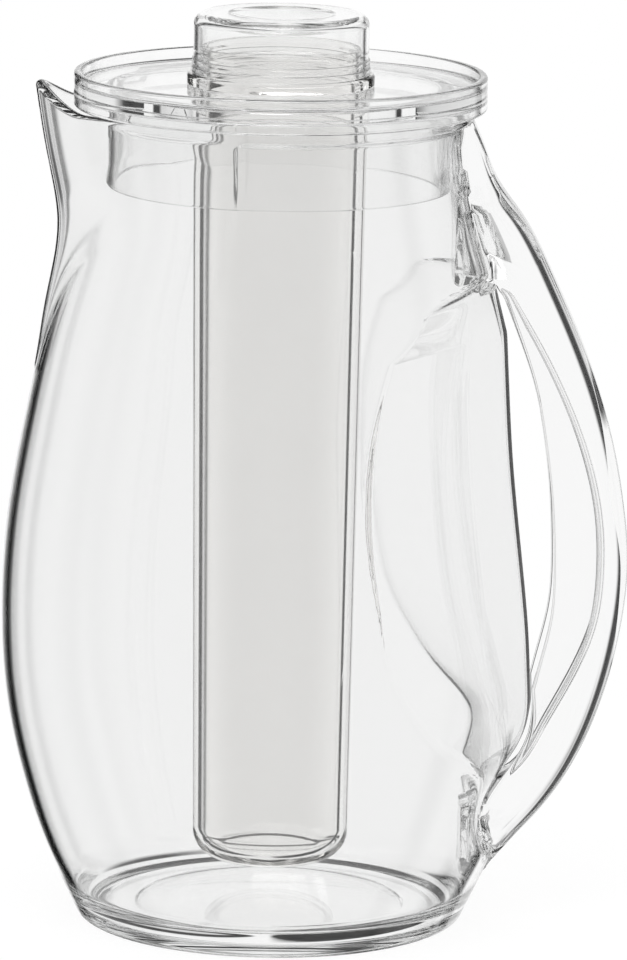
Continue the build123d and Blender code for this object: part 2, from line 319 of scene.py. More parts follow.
class NodeTree:
    """The nodes of a material or of the surround, with short calls that add to them."""

    def __init__(self, owner: bpy.types.Material | bpy.types.World) -> None:
        """Switches on an owner's nodes and clears them.

        Args:
            owner: A new material or world.
        """
        owner.use_nodes = True
        self.tree = owner.node_tree
        self.tree.nodes.clear()

    def add(
        self, kind: str, values: dict[str | int, object] | None = None, mode: str = "", output: str = ""
    ) -> Socket | None:
        """Adds a node.

        Args:
            kind: The node's type, without the word ShaderNode.
            values: What each input gets: a plain value, or an output to link to it.
            mode: The operation of a Math node, or what a Mix node mixes.
            output: The output to return, if it isn't the first.

        Returns:
            The node's output, or nothing for a node that has none.
        """
        node = self.tree.nodes.new("ShaderNode" + kind)
        if kind == "Math":
            node.operation = mode
        if kind == "Mix":
            node.data_type = mode
        for name, value in (values or {}).items():
            if isinstance(value, Socket):
                self.tree.links.new(value, node.inputs[name])
            else:
                node.inputs[name].default_value = value
        if output:
            return node.outputs[output]
        return node.outputs[0] if node.outputs else None

    def maths(self, operation: str, *values: object) -> Socket:
        """Returns the result of a Math node."""
        return self.add("Math", dict(enumerate(values)), operation)

    def mapped(self, value: Socket, source: Point = (0, 1), target: Point = (0, 1)) -> Socket:
        """Moves a value from one range to another.

        Args:
            value: The value.
            source: The range that it comes in. Beyond its ends the value is held.
            target: The range that it is brought to.

        Returns:
            The moved value.
        """
        names = ("From Min", "From Max", "To Min", "To Max")
        return self.add("MapRange", {"Value": value, **dict(zip(names, (*source, *target)))})

    def ramp(self, share: Socket, stops: tuple[Point, ...]) -> Socket:
        """Adds a brightness ramp.

        Args:
            share: Where to read it, from 0 to 1.
            stops: (place, brightness), rising.

        Returns:
            The brightness.
        """
        bright = self.add("ValToRGB", {"Fac": share})
        elements = bright.node.color_ramp.elements
        while len(elements) < len(stops):
            elements.new(0.5)
        for element, (place, value) in zip(elements, stops):
            element.position = place
            element.color = (value, value, value, 1)
        return bright


class Grain(Enum):
    """How the surface of a moulded piece came out of its tool."""

    POLISHED = "polished"
    HAZY = "hazy"


@dataclass(frozen=True)
class MouldedPlastic:
    """A clear moulded plastic with faint flow ripples, wiping marks, a slight tint in its depth and, where
    asked, a painted shade at its edges.

    Args:
        name: Material name.
        tint: Colour of light that passes a surface.
        depth_tint: Colour that the depth of the plastic keeps.
        depth_density: How quickly the depth takes light, per metre.
        grain: Polished, or with a milky share.
        milk: Share of light that the milky body scatters.
        side_milk: Part of the milk that shows at the sides, where light meets them aslant.
        side_range: How far a surface turns away where that starts and where it is full.
        milk_tint: Colour of the milk.
        cloud_range: Least and most milk in its clouds, as parts of the whole.
        cloud_scale: Clouds per metre.
        ripple: Height of the flow ripples, in millimetres.
        ripple_size: Distance from ripple to ripple, in millimetres.
        bending: Index of refraction.
        painted_edge_shade_tint: Share of the tint that a surface seen edge on keeps, which paints shade on
            its edges.
        painted_edge_shade_range: How far a surface turns away where the painted edge shade starts and where
            it is full.
        marks_scale: Wiping marks per metre.
        marks_stretch: Part of that along each axis, so that the marks run up the piece.
        marks_range: The noise where the marks start and where they are full.
        marks_roughness: Roughness of a full mark.
    """

    name: str
    tint: Corner
    depth_tint: Corner
    depth_density: float
    grain: Grain = Grain.POLISHED
    milk: float = 0.0
    side_milk: float = 1.0
    side_range: Point = (0.14, 0.5)
    milk_tint: Corner = (0.95, 0.94, 0.92)
    cloud_range: Point = (0.8, 1.2)
    cloud_scale: float = 34.0
    ripple: float = 0.012
    ripple_size: float = 22.0
    bending: float = 1.52
    # Painted shade: below one, the colour is darkened where a surface is seen edge on
    painted_edge_shade_tint: float = 1.0
    painted_edge_shade_range: Point = (0.84, 0.93)
    marks_scale: float = 240.0
    marks_stretch: Corner = (1, 1, 0.12)
    marks_range: Point = (0.56, 0.82)
    marks_roughness: float = 0.05

    def build(self) -> bpy.types.Material:
        """Builds the node material.

        Returns:
            The material.
        """
        material = bpy.data.materials.new(self.name)
        nodes = NodeTree(material)
        place = nodes.add("TexCoord", output="Object")
        body = {"Base Color": (*self.tint, 1), "Transmission Weight": 1, "IOR": self.bending}
        surface = nodes.add("BsdfPrincipled", {**body, **self.wear(nodes, place)})
        # Painted shade: the base colour darkens where the surface is seen edge on
        if self.painted_edge_shade_tint < 1:
            nodes.tree.links.new(self.edge(nodes), surface.node.inputs["Base Color"])
        if self.grain is Grain.HAZY:
            surface = self.milky(nodes, place, surface)
        depth = {"Color": (*self.depth_tint, 1), "Density": self.depth_density}
        nodes.add("OutputMaterial", {"Surface": surface, "Volume": nodes.add("VolumeAbsorption", depth)})
        return material

    def edge(self, nodes: NodeTree) -> Socket:
        """Paints shade into the surface's colour where it is seen edge on.

        Args:
            nodes: The material's nodes.

        Returns:
            The surface's colour.
        """
        share = nodes.mapped(nodes.add("LayerWeight", output="Facing"), self.painted_edge_shade_range)
        dark = (*(part * self.painted_edge_shade_tint for part in self.tint), 1)
        return nodes.add("Mix", {"Factor": share, "A": (*self.tint, 1), "B": dark}, "RGBA", "Result")

    def wear(self, nodes: NodeTree, place: Socket) -> dict[str, Socket]:
        """Adds flow ripples to the surface and faint wiping marks to its polish.

        Args:
            nodes: The material's nodes.
            place: Texture coordinates.

        Returns:
            The surface's normal and roughness, by the names of the plastic's inputs.
        """
        flow = nodes.add("TexNoise", {"Vector": place, "Scale": 1 / (self.ripple_size * MM), "Detail": 1.5})
        upright = nodes.add("Mapping", {"Vector": place, "Scale": self.marks_stretch})
        wiped = nodes.add("TexNoise", {"Vector": upright, "Scale": self.marks_scale, "Detail": 4})
        bump = nodes.add("Bump", {"Height": flow, "Strength": 1, "Distance": self.ripple * MM})
        return {"Normal": bump, "Roughness": nodes.mapped(wiped, self.marks_range, (0, self.marks_roughness))}

    def milky(self, nodes: NodeTree, place: Socket, clear: Socket) -> Socket:
        """Mixes a scattering share into the clear plastic.

        Args:
            nodes: The material's nodes.
            place: Texture coordinates.
            clear: The clear plastic's shader.

        Returns:
            The mixed shader.
        """
        cloud = nodes.add("TexNoise", {"Vector": place, "Scale": self.cloud_scale})
        least, most = self.cloud_range
        milk = nodes.mapped(cloud, target=(least * self.milk, most * self.milk))
        facing = nodes.add("LayerWeight", output="Facing")
        sides = nodes.mapped(facing, self.side_range, (1, self.side_milk))
        glow = nodes.add("BsdfTranslucent", {"Color": (*self.milk_tint, 1)})
        return nodes.add("MixShader", {"Fac": nodes.maths("MULTIPLY", milk, sides), 1: clear, 2: glow})


SHELL_PLASTIC = MouldedPlastic("clear_shell", (0.945, 0.946, 0.945), (0.62, 0.63, 0.62), 3)
# The handle's colour is darkened strongly at its edges, a painted shade
HANDLE_PLASTIC = MouldedPlastic(
    "clear_handle", (0.98, 0.98, 0.98), (0.65, 0.66, 0.65), 3, painted_edge_shade_tint=0.2, painted_edge_shade_range=(0.72, 0.84)
)
LID_PLASTIC = MouldedPlastic("clear_lid", (0.986, 0.987, 0.986), (0.62, 0.63, 0.62), 2)
TUBE_PLASTIC = MouldedPlastic(
    "milky_tube",
    (0.985, 0.981, 0.974),
    (0.65, 0.64, 0.62),
    3,
    Grain.HAZY,
    milk=0.065,
    side_milk=0.1,
    ripple=0.006,
    bending=1.14,
)
CAP_PLASTIC = MouldedPlastic("clear_cap", (0.975, 0.977, 0.975), (0.62, 0.63, 0.62), 2)


# Sub-assemblies


@dataclass
class JugShell:
    """The pear-shaped shell with its foot, rolled rim, beak spout and hand recess."""

    base_radius: float = 58.7
    belly_radius: float = 82.27
    belly_height: float = 95.0
    neck_radius: float = 54.5
    neck_start: float = 239.2
    rim_height: float = 250.3
    rim_radius: float = 57.6
    rim_band: float = 8.2
    rim_flare: float = 2.6
    rim_round: float = 1.4
    inner_rim_round: float = 1.2
    rim_start: float = 236.0
    rim_rows: int = 26
    rim_turns: int = 8
    # Keeps the last outer and the first inner row of the rim apart
    rim_seam: float = 1e-4
    wall: float = 3.0
    floor: float = 4.0
    # The water side starts this far above its floor
    floor_step: float = 0.02
    foot_inset: float = 2.7
    foot_middle: float = 48.0
    floor_middle: float = 46.0
    corner_rise: float = 2.0
    corner_flare: float = 0.4
    # The foot corner's fullest point, as shares of its width and rise
    corner_bulge: Point = (0.72, 0.36)
    punt_radius: float = 40.7
    dome_rise: float = 5.5
    dome_rings: int = 22
    inner_corner: float = 9.0
    # The inner corner stops just short of level, where its slope would have no end
    corner_end: float = 0.999

    spout_foot: float = 173.2
    spout_reach: float = 73.4
    spout_half_width: float = 36.0
    lip_height: float = 255.2
    lip_wall: float = 3.2
    lip_ramp: float = 14.4
    lip_ease: float = 0.45
    lip_seat: float = 246.8
    # Angles from the spout's middle where the lip ends, and how far each change-over takes
    lip_end: Point = (37.5, 4.0)
    lip_round_end: Point = (36.0, 5.0)
    # How much rounder the lip is than the rim, outside and inside
    lip_extra_round: Point = (0.2, 0.4)
    beak_fullness: float = 1.58
    # The least and most that the spout's wall stands off the axis
    beak_least: float = 10.0
    beak_most: float = 90.0
    spout_blend: float = 7.0
    # The blend of spout and wall grows sharper from this height, over this rise, by this share
    blend_change: Corner = (214.0, 30.0, 0.9)
    least_blend: float = 0.4

    recess_floor: float = 20.0
    recess_shelf: float = 180.0
    recess_top: float = 200.0
    recess_angle: float = 31.8
    recess_wall: float = 2.0
    # Angles from the handle: the nose is rounded within the first, in radians, and the walls end at the
    # second, in degrees
    nose_angle: float = 0.35
    recess_limit: float = 110.0
    nose_round: float = 1.1
    # How far the walls stand off, so that they cut nothing, below the floor and above the top
    recess_clear: float = 40.0
    ledge_rise: float = 1.6
    edge_blend: float = 1.1

    # Low end, high end and distance of the inner end from the axis
    upper_key: Corner = (197.2, 223.2, 55.4)
    lower_key: Corner = (17.0, 33.0, 60.6)
    key_half_width: float = 7.0
    key_edge: float = 2.2

    # Each a share of the way up, then shares of the way between two sizes
    lower_flank_shares: Shares = ((0.116, 0.195), (0.237, 0.415), (0.437, 0.69), (0.689, 0.915))
    upper_flank_shares: Shares = (
        (0.208, 0.072), (0.42, 0.263), (0.61, 0.486), (0.777, 0.755), (0.895, 0.925),
    )
    spout_shares: Shares = (
        (0.0, 0.74, 0.33), (0.17, 0.735, 0.5), (0.34, 0.645, 0.68),
        (0.5, 0.63, 0.8), (0.71, 0.79, 0.92), (1.0, 1.0, 1.0),
    )
    recess_shares: Shares = (
        (0.0, 0.43, 0.02), (0.04, 0.363, 0.04), (0.075, 0.337, 0.08), (0.12, 0.424, 0.22),
        (0.165, 0.59, 0.36), (0.21, 0.745, 0.50), (0.265, 0.845, 0.72), (0.33, 0.853, 0.85),
        (0.423, 0.824, 0.94), (0.54, 0.755, 0.965), (0.65, 0.68, 0.985), (0.765, 0.611, 1.0),
        (0.88, 0.565, 1.0), (1.0, 0.525, 0.97),
    )
    recess_roof_shares: Shares = (
        (0.0, 0.525, 0.97), (0.52, 0.435, 0.81), (0.81, 0.39, 0.62), (1.0, 0.35, 0.10),
    )
    # Angles in degrees, and the pitch of the columns from there on
    column_stops: tuple[Point, ...] = (
        (-180, 0.9), (-142, 0.6), (-136, 1.7), (-82, 0.62), (-8, 0.33),
        (8, 0.62), (82, 1.7), (136, 0.6), (142, 0.9), (180, 0.9),
    )

    def pear(self, height: Sizes, inner: bool) -> np.ndarray:
        """Radius of the plain pear.

        Args:
            height: Heights to read.
            inner: Whether to read the water side.

        Returns:
            The radii.
        """
        low = (self.base_radius, self.belly_radius)
        points = [(self.corner_rise, self.base_radius + self.corner_flare)]
        points += shared_points(self.lower_flank_shares, (0, self.belly_height), low)
        points.append((self.belly_height, self.belly_radius))
        flank = (self.belly_height, self.neck_start)
        points += shared_points(self.upper_flank_shares, flank, (self.belly_radius, self.neck_radius))
        points.append((self.neck_start, self.neck_radius))
        radius = read_line(points, height, end_slope=0)
        if inner:
            tuck = np.clip((self.floor + self.inner_corner - height) / self.inner_corner, 0, 1)
            return radius - self.wall - self.inner_corner * (1 - np.sqrt(1 - self.corner_end * tuck**2))
        flare_start = self.rim_height - self.rim_band
        lift = self.rim_radius - self.neck_radius
        return radius + lift * soft_step((height - flare_start) / self.rim_flare)

    def recess(self, angle: np.ndarray, height: Sizes, inner: bool) -> np.ndarray:
        """Distance from the axis to the walls of the hand recess.

        Args:
            angle: Angles from the handle side.
            height: Heights.
            inner: Whether to read the water side.

        Returns:
            The radii, very large where there is no recess.
        """
        sizes = [(self.neck_radius, self.belly_radius), (0, math.radians(self.recess_angle))]
        wall = read_table(self.recess_shares, (self.recess_floor, self.recess_shelf), sizes, height)
        roof = read_table(self.recess_roof_shares, (self.recess_shelf, self.recess_top), sizes, height)
        nose, lean = (np.where(height < self.recess_shelf, *pair) for pair in zip(wall, roof))
        inset = self.recess_wall if inner else 0.0
        rounding = self.nose_round * np.tan(lean)
        reach = nose * np.cos(lean) + rounding * np.sin(lean) - inset
        straight = np.maximum(np.cos(angle) * np.cos(lean), LEAST_SLOPE)
        radius = reach / straight
        for _ in range(4):
            across = np.sqrt((radius * np.sin(angle)) ** 2 + rounding**2)
            radius = np.clip((reach - across * np.sin(lean)) / straight, 5, FAR)
        slope = np.cos(angle) * np.cos(lean) + np.abs(np.sin(angle)) * np.sin(lean)
        radius = np.where(np.abs(angle) < self.nose_angle, radius, reach / np.maximum(slope, LEAST_SLOPE))
        radius = np.where(np.abs(angle) > math.radians(self.recess_limit), FAR, radius)
        below = 1 - soft_step((height - (self.recess_floor - inset)) / self.ledge_rise)
        above = soft_step((height - self.recess_top) / self.ledge_rise)
        return radius + self.recess_clear * (below + above)

    def beak(self, angle: np.ndarray, height: Sizes, inner: bool) -> np.ndarray:
        """Distance from the axis to the wall of the spout.

        Args:
            angle: Angles from the spout side.
            height: Heights.
            inner: Whether to read the water side.

        Returns:
            The radii, small where there is no spout.
        """
        inset = self.lip_wall if inner else 0.0
        sizes = [(self.neck_radius, self.spout_reach), (0, self.spout_half_width)]
        found = read_table(self.spout_shares, (self.spout_foot, self.lip_height), sizes, height)
        reach, half = (size - inset for size in found)
        root = math.sqrt(self.rim_radius**2 - self.spout_half_width**2)
        low = np.full(np.broadcast(angle, height).shape, self.beak_least)
        high = np.full(low.shape, self.beak_most)
        # Halving finds where the ray at each angle leaves the spout's rounded outline
        for _ in range(26):
            middle = (low + high) / 2
            edge = root + (reach - root) * (1 - (np.abs(middle * np.sin(angle)) / half) ** self.beak_fullness)
            outside = middle * np.cos(angle) > edge
            high = np.where(outside, middle, high)
            low = np.where(outside, low, middle)
        on_spout = (np.cos(angle) > 0.2) & (height > self.spout_foot - 6)
        return np.where(on_spout, middle, self.beak_least)

    def key_bump(self, angle: np.ndarray, height: Sizes, radius: np.ndarray, grow: float) -> np.ndarray:
        """Depth of the pockets for the handle's keys.

        Args:
            angle: Angles from the handle side.
            height: Heights.
            radius: Radius of the plain wall there.
            grow: Extra size of the bosses round the pockets.

        Returns:
            How far the wall stands back.
        """
        side = np.where(np.cos(angle) > 0, np.abs(radius * np.sin(angle)), FAR)
        more = grow + self.key_edge / 2
        across = soft_step((self.key_half_width + more - side) / self.key_edge)
        depth = 0.0
        for low, high, end in (self.upper_key, self.lower_key):
            stand = np.maximum(radius - (end - grow) / np.maximum(np.cos(angle), 0.5), 0)
            up = within(height, low - more, high + more, self.key_edge, self.key_edge)
            depth = depth + stand * across * up
        return depth

    def face(self, angle: np.ndarray, height: Sizes, inner: bool = False) -> np.ndarray:
        """Radius of the shell's outer face or of its water face.

        Args:
            angle: Angles about the axis, zero at the handle.
            height: Heights.
            inner: Whether to read the water side.

        Returns:
            The radii.
        """
        radius = soft_min(self.pear(height, inner), self.recess(angle, height, inner), self.edge_blend)
        start, rise, share = self.blend_change
        blend = self.spout_blend * (1 - share * soft_step((height - start) / rise)) + self.least_blend
        radius = soft_max(radius, self.beak(np.abs(angle) - math.pi, height, inner), blend)
        return radius - self.key_bump(angle, height, radius, self.wall if inner else 0.0)

    def top(self, angle: np.ndarray) -> np.ndarray:
        """Height of the rim or lip at each angle.

        Args:
            angle: Angles about the axis, zero at the handle.

        Returns:
            The heights.
        """
        spout_angle = np.abs(np.abs(angle) - math.pi)
        reach = self.face(angle, self.rim_height - self.rim_round) * np.cos(spout_angle)
        climb = np.clip((reach - (self.spout_reach - self.lip_ramp)) / self.lip_ramp, 0, 1)
        climb = climb * climb * (1 + self.lip_ease - self.lip_ease * climb)
        lip = part_way(self.lip_seat, self.lip_height, climb)
        end, width = self.lip_end
        ring = soft_step((np.degrees(spout_angle) - end) / width)
        return lip * (1 - ring) + self.rim_height * ring

    def levels(self, inner: bool) -> np.ndarray:
        """Spreads the mesh's rows up the flank.

        Args:
            inner: Whether the rows are for the water side.

        Returns:
            Heights from above the foot to under the rim.
        """
        start = self.floor + self.floor_step if inner else self.corner_rise
        ledge = self.recess_floor - (self.recess_wall if inner else 0.0)
        stops = [(start, 0.7), (15, 1.0), (ledge - 0.4, 0.2), (ledge + self.ledge_rise + 0.4, 0.8)]
        stops += [(52, 1.25), (178, 0.5), (182, 1.0), (self.recess_top - 0.5, 0.5), (203, 1.0), (222, 1.25)]
        return rows_along([*stops, (self.rim_start, 1.0)])

    def dome(self, radii: tuple[float, ...], crown: float) -> list[Point]:
        """Returns (radius, height) points on the dome at some radii, below its crown."""
        return [(radius, crown - sag(radius, self.punt_radius, self.dome_rise)) for radius in radii]

    def foot_outline(self) -> list[Point]:
        """Draws the underside.

        Returns:
            (radius, height) points from the middle of the dome to the corner of the foot.
        """
        foot = self.base_radius - self.foot_inset
        corner = (self.base_radius + self.corner_flare, self.corner_rise)
        out, up = self.corner_bulge
        bulge = (part_way(foot, corner[0], out), up * self.corner_rise)
        radii = (*np.linspace(0, self.punt_radius - 1, self.dome_rings), self.punt_radius - 0.3)
        level = (self.punt_radius + 0.3, self.punt_radius + 0.9, self.foot_middle, foot - 0.4, foot)
        outline = self.dome(radii, self.dome_rise) + [(radius, 0) for radius in level]
        return outline + arc((foot, 0), bulge, corner, 7)[1:-1]

    def floor_outline(self) -> list[Point]:
        """Draws the top of the floor.

        Returns:
            (radius, height) points from the corner of the water space to the middle of the dome.
        """
        corner = self.face(np.array([math.pi / 2]), self.floor + self.floor_step, True)[0]
        level = (corner - 0.8, self.floor_middle, self.punt_radius + 1.2, self.punt_radius + 0.4)
        radii = (self.punt_radius - 0.4, *np.linspace(self.punt_radius - 1.2, 0, self.dome_rings))
        return [(radius, self.floor) for radius in level] + self.dome(radii, self.floor + self.dome_rise)

    def rim(self, angles: np.ndarray) -> list[np.ndarray]:
        """Builds the rows from under the rim, over it and back down inside.

        Args:
            angles: The columns.

        Returns:
            The rings.
        """
        top = self.top(angles)
        end, width = self.lip_round_end
        at_lip = 1 - soft_step((np.degrees(np.abs(np.abs(angles) - math.pi)) - end) / width)
        sides = []
        for inner, plain in enumerate((self.rim_round, self.inner_rim_round)):
            round_off = plain + self.lip_extra_round[inner] * at_lip
            rows = []
            for share in np.linspace(0, 1, self.rim_rows):
                height = part_way(self.rim_start, top - round_off, share)
                rows.append(ring_at(self.face(angles, height, inner), height, angles))
            edge = self.face(angles, top - round_off, inner)
            for turn in np.linspace(0, math.pi / 2, self.rim_turns)[1:]:
                inset = round_off * (1 - math.cos(turn)) * (-1 if inner else 1)
                height = top - round_off * (1 - math.sin(turn)) - (self.rim_seam if inner else 0)
                rows.append(ring_at(edge - inset, height, angles))
            sides.append(rows)
        outer_rows, inner_rows = sides
        return outer_rows + inner_rows[::-1]

    def build(self) -> Piece:
        """Builds the shell as one closed mesh.

        Returns:
            The object.
        """
        angles = np.radians(rows_along(list(self.column_stops)))
        outer = [ring_at(self.face(angles, height), height, angles) for height in self.levels(False)]
        inner = [ring_at(self.face(angles, height, True), height, angles) for height in self.levels(True)]
        rings = level_rings(self.foot_outline(), angles) + outer + self.rim(angles) + inner[::-1]
        return skin("jug_shell", rings + level_rings(self.floor_outline(), angles))

    def dress(self) -> Piece:
        """Builds the shell, gives it its plastic and sets it in place of its CAD node."""
        return place_piece(self.build(), SHELL_PLASTIC, "jug", "jug_body")


@dataclass
class Handle:
    """The channel-section handle, cut to sit on the shell with a hair's gap."""

    shell: JugShell
    reach: float = 106.6
    foot_height: float = 12.6
    crown_height: float = 243.9
    half_width: float = 14.0
    root_half_width: float = 9.5
    web: float = 7.0
    flange: float = 4.0
    outer_round: float = 6.5
    flange_round: float = 1.5
    floor_round: float = 2.6
    window_depth: float = 18.5
    channel_low: float = 40.0
    channel_top: float = 196.7
    window_top: float = 191.0
    gap: float = 0.18
    # Least thickness of the section, of the web behind the channel, and of the web on the shell
    least_thick: float = 0.8
    least_web: float = 0.6
    least_root: float = 0.3

    # Shares of the way up, and of the way from the neck's radius to the edge's furthest reach
    edge_shares: Shares = (
        (0.0, 0.144), (0.025, 0.244), (0.091, 0.512), (0.168, 0.733), (0.25, 0.875), (0.343, 0.969),
        (0.43, 1.0), (0.503, 0.969), (0.583, 0.902), (0.675, 0.777), (0.74, 0.66), (0.805, 0.528),
        (0.883, 0.336), (0.922, 0.211), (0.961, 0.138), (1.0, 0.063),
    )
    channel_shares: Shares = (
        (0.0, 0.239), (0.031, 0.392), (0.112, 0.601), (0.212, 0.787), (0.332, 0.953), (0.44, 0.997),
        (0.53, 0.985), (0.66, 0.89), (0.763, 0.756), (0.879, 0.554), (1.0, 0.3),
    )
    window_shares: Shares = (
        (0.01, 0.34), (0.083, 0.497), (0.15, 0.693), (0.248, 0.855), (0.348, 0.976), (0.465, 1.0),
        (0.582, 0.966), (0.7, 0.882), (0.816, 0.747), (0.892, 0.605), (1.01, 0.36),
    )

    def edge_at(self, height: float, shares: Shares, ends: Point, reach: float) -> float:
        """Reads one of the side view's edges at a height."""
        return float(read_table(shares, ends, [(self.shell.neck_radius, reach)], height)[0])

    def seat(self, side: np.ndarray, height: np.ndarray) -> np.ndarray:
        """Finds where the handle's inner face touches the shell.

        Args:
            side: Distances from the middle plane.
            height: Heights.

        Returns:
            Distances along X, a small gap off the shell.
        """
        across = np.full(side.shape, 60.0)
        for _ in range(4):
            radius = self.shell.face(np.arctan2(np.abs(side), across), height) + self.gap
            across = np.sqrt(np.maximum(radius**2 - side**2, 1))
        return across

    def section(self, height: float) -> np.ndarray:
        """Builds one level section of the handle as a closed ring.

        Args:
            height: The level.

        Returns:
            Points from the inner end of one flange round the outside to the other and back along the channel.
        """
        middle = (self.foot_height + self.crown_height) / 2
        half_span = (self.crown_height - self.foot_height) / 2
        bow = 1 - ((height - middle) / half_span) ** 2
        wide = part_way(self.root_half_width, self.half_width, bow)
        low, high = self.channel_low, self.channel_top
        outer = self.edge_at(height, self.edge_shares, (self.foot_height, self.crown_height), self.reach)
        window_reach = self.reach - self.window_depth - self.flange
        window = self.edge_at(height, self.window_shares, (low, high), window_reach)
        floor = self.edge_at(height, self.channel_shares, (low, high), self.reach - self.web)
        inner = float(self.seat(np.array([0.0]), np.array([height]))[0])
        if window > inner:
            opened = float(within(height, low + 0.5, self.window_top + 6, 3, 6))
            inner = max(inner, part_way(inner, window, opened))
        inner = min(inner, outer - self.least_thick)
        hollow = float(within(height, low + 2, high, 4, 4))
        floor = min(max(inner + 0.02, part_way(inner, floor, hollow)), outer - self.least_web)
        return self.outline(height, wide, outer, inner, floor)

    def outline(self, height: float, wide: float, outer: float, inner: float, floor: float) -> np.ndarray:
        """Draws a channel section.

        Args:
            height: The level.
            wide: Half width.
            outer: Outer face along X.
            inner: Flange ends along X.
            floor: Channel floor along X.

        Returns:
            The ring of points.
        """
        thick = outer - inner
        big = min(self.outer_round, 0.45 * thick)
        small = min(self.flange_round, 0.3 * thick)
        shallow = 0.6 * (floor - inner)
        half = [
            (outer, wide, big),
            (inner, wide, small),
            (inner, wide - self.flange, min(small, max(shallow, 0.01))),
            (floor, wide - self.flange, max(min(self.floor_round, shallow), 0.01)),
        ]
        mirrored = [(x, -y, radius) for x, y, radius in reversed(half)]
        corners: list[Corner] = [mirrored[-1], *half, *mirrored[:-1]]
        flat = rounded(corners, steps=6, keeper=0.02, closed=True)
        points = np.array([(x, y, height) for x, y in flat])
        on_shell = self.seat(points[:, 1], points[:, 2])
        points[:, 0] = np.maximum(points[:, 0], np.minimum(on_shell, outer - self.least_root))
        touches = (points[:, 0] < inner + 0.5) & (inner < on_shell.min() + 1.0)
        points[:, 0] = np.where(touches, on_shell, points[:, 0])
        return points

    def build(self) -> Piece:
        """Builds the handle as one closed mesh.

        Returns:
            The object.
        """
        stops = [(self.foot_height, 0.45), (20, 0.8), (36, 0.4), (46, 1.0), (176, 0.5), (202, 1.0)]
        stops += [(self.crown_height - 4, 0.5), (self.crown_height, 0.5)]
        rings = [self.section(float(height)) for height in (*rows_along(stops), self.crown_height)]
        ends = [np.array([ring.mean(0)]) for ring in (rings[0], rings[-1])]
        return skin("jug_handle", [ends[0], *rings, ends[1]])

    def dress(self) -> Piece:
        """Builds the handle, gives it its plastic and sets it in place of its CAD node."""
        return place_piece(self.build(), HANDLE_PLASTIC, "jug", "handle")


@dataclass
class Lid:
    """The lid with its sunken tray, overlapping wall, plug skirt and centring ribs."""

    radius: float = 61.7
    plate_low: float = 250.42
    tray: float = 253.9
    wall: float = 2.4
    wall_rise: float = 3.8
    wall_low: float = 247.2
    edge_round: float = 1.0
    hole: float = 26.6
    skirt_radius: float = 50.9
    skirt_wall: float = 2.6
    skirt_low: float = 223.2
    rib_count: int = 4
    rib_first_angle: float = 9.0
    rib_half_width: float = 0.9
    rib_proud: float = 0.3
    rib_low: float = 238.1
    rib_edge: float = 0.6
    # Columns at each rib, and how far they reach to its sides in half widths
    rib_columns: int = 9
    rib_reach: float = 1.6
    column_count: int = 300

    def build(self) -> Piece:
        """Builds the lid as one closed mesh.

        Returns:
            The object.
        """
        inner = self.radius - self.wall
        top = self.tray + self.wall_rise
        bore = self.skirt_radius - self.skirt_wall
        rib_rows = (self.rib_low - 0.2, self.rib_low, self.rib_low + 0.8)
        corners = [
            (self.hole, self.plate_low, 0.3),
            (bore, self.plate_low, 1.2),
            (bore, self.skirt_low, 0.5),
            (self.skirt_radius, self.skirt_low, 0.8),
            *((self.skirt_radius, height, 0) for height in rib_rows),
            (self.skirt_radius, self.plate_low, 0.8),
            (inner, self.plate_low, 0.8),
            (inner, self.wall_low, self.edge_round),
            (self.radius, self.wall_low, self.edge_round),
            (self.radius, top, self.edge_round),
            (inner, top, self.edge_round),
            (inner, self.tray, 1.4),
            (self.hole, self.tray, 0.4),
        ]
        lid = skin("lid_plate", level_rings(rounded(corners, closed=True), self.columns()), True)
        self.raise_ribs(lid)
        return lid

    def rib_angles(self) -> list[float]:
        """Returns the angles of the ribs, in radians."""
        return [math.radians(self.rib_first_angle + k * 360 / self.rib_count) for k in range(self.rib_count)]

    def columns(self) -> np.ndarray:
        """Spreads the mesh's columns evenly, with closer ones at the ribs.

        Returns:
            The angles of a full turn.
        """
        half = self.rib_reach * self.rib_half_width / self.skirt_radius
        offsets = np.linspace(-half, half, self.rib_columns)
        spread = {round(float(angle), 5) for angle in even_angles(self.column_count)}
        for centre in self.rib_angles():
            spread |= {round(float(wrapped(centre + off)), 5) for off in offsets}
        return np.array(sorted(spread))

    def raise_ribs(self, lid: Piece) -> None:
        """Pushes the skirt's outer face out at the ribs.

        Args:
            lid: The lid's object.
        """
        for vertex in lid.data.vertices:
            radius = math.hypot(vertex.co.x, vertex.co.y) / MM
            in_rows = self.rib_low + 0.4 < vertex.co.z / MM < self.plate_low - 0.5
            if not in_rows or abs(radius - self.skirt_radius) > 0.05:
                continue
            angle = math.atan2(vertex.co.y, vertex.co.x)
            for centre in self.rib_angles():
                off = abs(wrapped(angle - centre)) * radius
                share = soft_step((self.rib_half_width + self.rib_edge / 2 - off) / self.rib_edge)
                vertex.co.xy *= 1 + self.rib_proud * float(share) / radius

    def dress(self) -> Piece:
        """Builds the lid, gives it its plastic and sets it in place of its CAD node."""
        return place_piece(self.build(), LID_PLASTIC, "lid", "lid")


